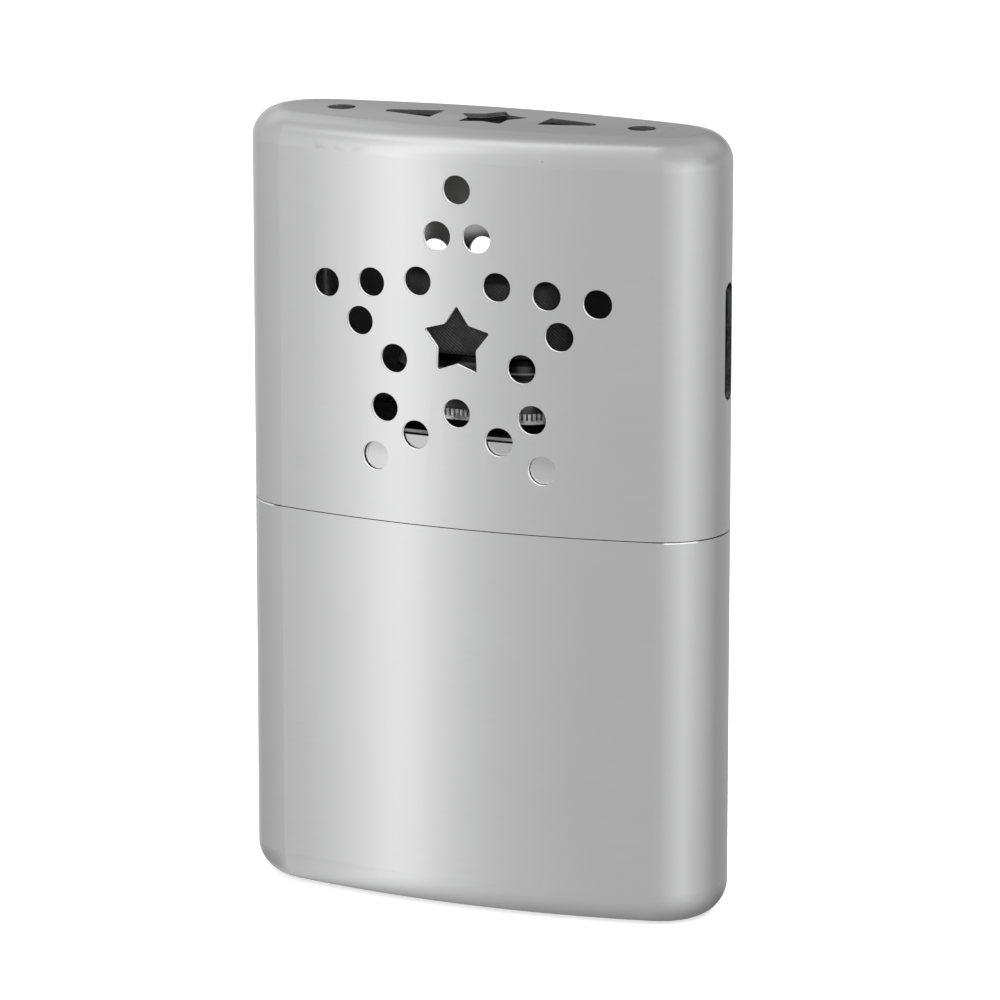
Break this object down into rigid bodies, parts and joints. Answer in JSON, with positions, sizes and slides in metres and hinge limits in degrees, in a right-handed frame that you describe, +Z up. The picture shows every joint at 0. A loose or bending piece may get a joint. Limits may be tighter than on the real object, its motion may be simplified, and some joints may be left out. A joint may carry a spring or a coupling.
{
  "type": "catalytic hand warmer",
  "caption": "Slim metal pocket warmer with a pierced slip-on cap over a fuel tank and a lift-off catalytic burner.",
  "frame": {"origin": "centre of the flat base that the tank stands on", "axes": "+Z up along the height, +X across the wide face, +Y from the front face to the back face"},
  "size_m": [0.0634, 0.0218, 0.1],
  "materials": {
    "satin_plate": "satin nickel plating",
    "bright_plate": "bright plating",
    "burner_steel": "heat-darkened steel",
    "spring_brass": "plain sprung brass",
    "catalyst_fibre": "dark woven glass fibre",
    "cotton": "loose white cotton"
  },
  "bodies": {
    "tank": {"tank_shell": "satin_plate", "neck_sleeve": "satin_plate", "tank_deck": "bright_plate", "filler_mouth": "bright_plate", "wick_plug": "cotton", "cotton_wadding": "cotton"},
    "cap": {"cap_shell": "satin_plate"},
    "burner": {"burner_skirt": "burner_steel", "foot_comb": "bright_plate", "cloth_ring": "burner_steel", "burner_floor": "burner_steel", "grip_springs": "spring_brass", "support_hoops": "burner_steel", "catalyst_fleece": "catalyst_fibre", "catalyst_cloth": "catalyst_fibre"}
  },
  "joints": [
    {"name": "cap_lift", "type": "slide", "parent": "tank", "child": "cap", "axis": [0, 0, 1], "range_m": [0, 0.045]},
    {"name": "burner_lift", "type": "slide", "parent": "tank", "child": "burner", "axis": [0, 0, 1], "range_m": [0, 0.014]}
  ]
}
